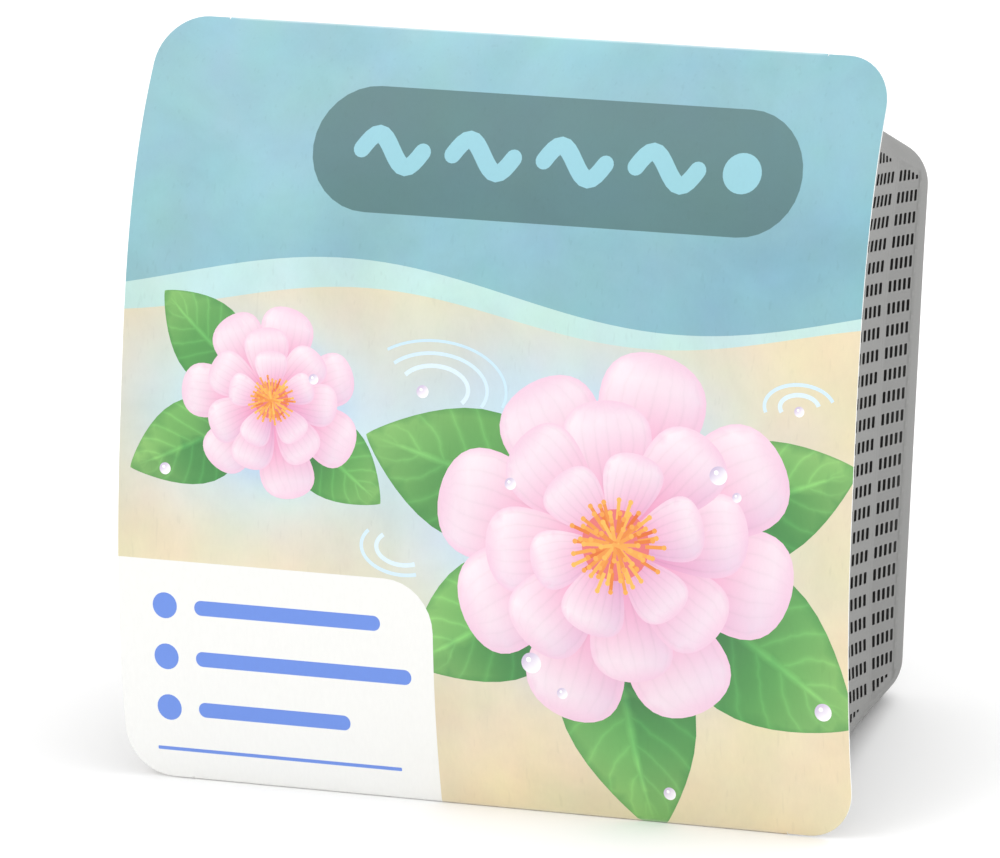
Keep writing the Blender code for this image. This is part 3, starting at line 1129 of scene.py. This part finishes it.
def card_material():
    """Coated card: printed in front, bare board behind, white where it is cut."""
    made = settings("print")
    look, nodes, place = new_look("printed card")
    printed = nodes.attribute("print")
    side = nodes.attribute("side")["Fac"]
    lines = nodes.split(nodes.attribute("lines")["Vector"])
    on_leaf = nodes.calc("GREATER_THAN", lines["Z"], 1.5)
    beside = nodes.calc("ABSOLUTE", lines["X"])
    side_veins = nodes.minus(lines["Y"], nodes.times(beside, 0.22))
    phase = nodes.mix(nodes.times(lines["X"], 11.0), nodes.times(side_veins, 26.0), on_leaf, "FLOAT")
    swing = nodes.times(nodes.minus(nodes.noise(place, 160.0, 2.0), 0.5), 1.3)
    ridge = nodes.calc("ABSOLUTE", nodes.calc("SINE", nodes.plus(phase, swing)))
    ridge = nodes.calc("POWER", nodes.minus(1.0, ridge), 3.0)
    midrib = nodes.ramp(beside, 0.0, 0.09, 1.6, 0.0)
    to_tip = nodes.ramp(lines["Y"], 0.78, 0.95, -0.26, 0.0)
    leaf_line = nodes.times(nodes.calc("MAXIMUM", ridge, midrib), to_tip)
    fading = nodes.times(nodes.minus(1.1, lines["Y"]), 0.14)
    vein = nodes.mix(nodes.times(ridge, fading), leaf_line, on_leaf, "FLOAT")
    vein = nodes.times(vein, nodes.calc("MINIMUM", lines["Z"], 1.0))
    cloud = nodes.noise(place, 26.0, 6.0, Roughness=0.62, Distortion=0.4)
    wash = nodes.times(nodes.ramp(cloud, 0.3, 0.7, -0.10, 0.10), printed["Alpha"])
    fibre = nodes.noise(nodes.stretched(place, (1.0, 1.0, 0.35)), 1400.0, 3.0)
    strand = nodes.noise(nodes.stretched(place, (1.0, 1.0, 0.16)), 900.0, 1.0)
    strands = nodes.times(nodes.ramp(strand, 0.66, 0.74, 0.0, 0.05), printed["Alpha"])
    level = nodes.minus(nodes.plus(wash, 1.0), nodes.plus(vein, strands))
    level = nodes.times(level, nodes.ramp(fibre, 0.0, 1.0, 0.975, 1.025))
    patch = nodes.vector("SUBTRACT", nodes.noise(place, 48.0, 3.0, "Color"), (0.5, 0.5, 0.5))
    patch = nodes.scaled(patch, nodes.times(printed["Alpha"], 0.22))
    patch = nodes.vector("ADD", patch, (1.0, 1.0, 1.0))
    front = nodes.vector("MULTIPLY", nodes.scaled(printed["Color"], level), patch)
    back = nodes.scaled((*made.board,), nodes.ramp(fibre, 0.0, 1.0, 0.80, 1.20))
    paint = nodes.mix(front, back, nodes.calc("GREATER_THAN", side, 0.5))
    paint = nodes.mix(paint, (*made.edge, 1), nodes.calc("GREATER_THAN", side, 1.5))
    matt = nodes.times(nodes.calc("MINIMUM", side, 1.0), 0.45)
    rough = nodes.plus(nodes.ramp(cloud, 0.0, 1.0, 0.36, 0.46), matt)
    return worn(look, paint, rough, nodes.bump(fibre, 0.06, 0.0001))


class POND_OT_card(bpy.types.Operator):
    """Build the bowed card with its print in place of its solid"""
    bl_idname = "pond.card"
    bl_label = "Printed card"

    def execute(self, context):
        mesh = thickened("printed_card", card_skin(), settings("card").thick)
        card = placed("printed_card", mesh, card_material(), sharp=50)
        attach(card, "root")
        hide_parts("card")
        return {"FINISHED"}


# Stage

FLOOR_HALF = 6.0
LIGHTS = (  # name, place, the point it faces, width and height
    ("key", (-0.55, -0.9, 1.25), (0, 0, 0.08), 0.9, 0.7),
    ("top", (0.15, 0.5, 1.3), (0, 0.1, 0.0), 1.7, 1.7),
    ("front", (-0.3, -1.3, 0.45), (0, 0, 0.09), 0.9, 0.9),
    ("side", (1.1, 0.2, 0.9), (0.2, 0.1, 0), 0.9, 0.9),
)


def soft_light(name, place, aim, wide, high):
    light = bpy.data.lights.new(name, "AREA")
    light.shape = "RECTANGLE"
    light.size = wide
    light.size_y = high
    light.energy = getattr(settings("stage"), name)
    lamp = added(name, light)
    lamp.location = place
    lamp.rotation_euler = (Vector(aim) - Vector(place)).to_track_quat("-Z", "Y").to_euler()


def pale_floor():
    mesh = bpy.data.meshes.new("floor")
    corners = [(x, y, 0) for x, y in strip(FLOOR_HALF, -FLOOR_HALF, FLOOR_HALF)]
    mesh.from_pydata(corners, [], [(0, 1, 2, 3)])
    look = bpy.data.materials.new("floor")
    look.use_nodes = True
    shader = look.node_tree.nodes["Principled BSDF"]
    shader.inputs["Base Color"].default_value = (*settings("stage").floor, 1)
    shader.inputs["Roughness"].default_value = 0.9
    shader.inputs["Specular IOR Level"].default_value = 0.1
    mesh.materials.append(look)
    return added("floor", mesh)


def photo_camera():
    """Camera at the photograph's viewing angle, given from the basket's mouth."""
    made = settings("stage")
    turn, rise, roll = made.turn, made.rise, made.roll
    back = Vector((math.sin(turn) * math.cos(rise), -math.cos(turn) * math.cos(rise), math.sin(rise)))
    level = Vector((math.cos(turn), math.sin(turn), 0))
    over = back.cross(level)
    right = level * math.cos(roll) + over * math.sin(roll)
    up = over * math.cos(roll) - level * math.sin(roll)
    place = back * made.distance + right * made.aside + up * made.above
    data = bpy.data.cameras.new("camera")
    data.lens = made.lens
    data.sensor_width = 36
    data.clip_start = 0.05
    data.clip_end = 30
    camera = added("camera", data)
    turned_to = Matrix((right, up, back)).transposed().to_4x4()
    camera.matrix_world = mouth_frame() @ Matrix.Translation(place) @ turned_to
    return camera


class POND_OT_stage(bpy.types.Operator):
    """Set up the floor, the light and the camera"""
    bl_idname = "pond.stage"
    bl_label = "Floor, light and camera"

    def execute(self, context):
        floor = pale_floor()
        world = bpy.data.worlds.new("studio")
        world.use_nodes = True
        sky = world.node_tree.nodes["Background"]
        sky.inputs["Color"].default_value = (1, 1, 1, 1)
        sky.inputs["Strength"].default_value = settings("stage").sky
        context.scene.world = world
        for light in LIGHTS:
            soft_light(*light)
        context.scene.view_settings.view_transform = "Standard"
        context.scene.camera = photo_camera()
        return {"FINISHED"}


PARTS = (  # name, settings, and what builds it
    ("basket", BasketSettings, POND_OT_basket),
    ("slots", SlotSettings, None),
    ("card", CardSettings, POND_OT_card),
    ("print", PrintSettings, None),
    ("stage", StageSettings, POND_OT_stage),
)


class POND_PT_kit(bpy.types.Panel):
    """Settings of the pond basket and its card"""
    bl_label = "Pond basket"
    bl_idname = "POND_PT_kit"
    bl_space_type = "VIEW_3D"
    bl_region_type = "UI"
    bl_category = "Pond basket"

    def draw(self, context):
        for name, _, operator in PARTS:
            box = self.layout.box()
            box.label(text=name.capitalize())
            made = settings(name)
            for item in made.__annotations__:
                box.prop(made, item)
            if operator:
                box.operator(operator.bl_idname)


CLASSES = [*(made for part in PARTS for made in part[1:] if made), POND_PT_kit]


def register():
    for made in CLASSES:
        bpy.utils.register_class(made)
    for name, group, _ in PARTS:
        setattr(bpy.types.Scene, "pond_" + name, PointerProperty(type=group))


def unregister():
    for name, _, _ in PARTS:
        delattr(bpy.types.Scene, "pond_" + name)
    for made in reversed(CLASSES):
        bpy.utils.unregister_class(made)


def main():
    register()
    bpy.ops.pond.basket()
    bpy.ops.pond.card()
    bpy.ops.pond.stage()


if __name__ == "__main__":
    main()
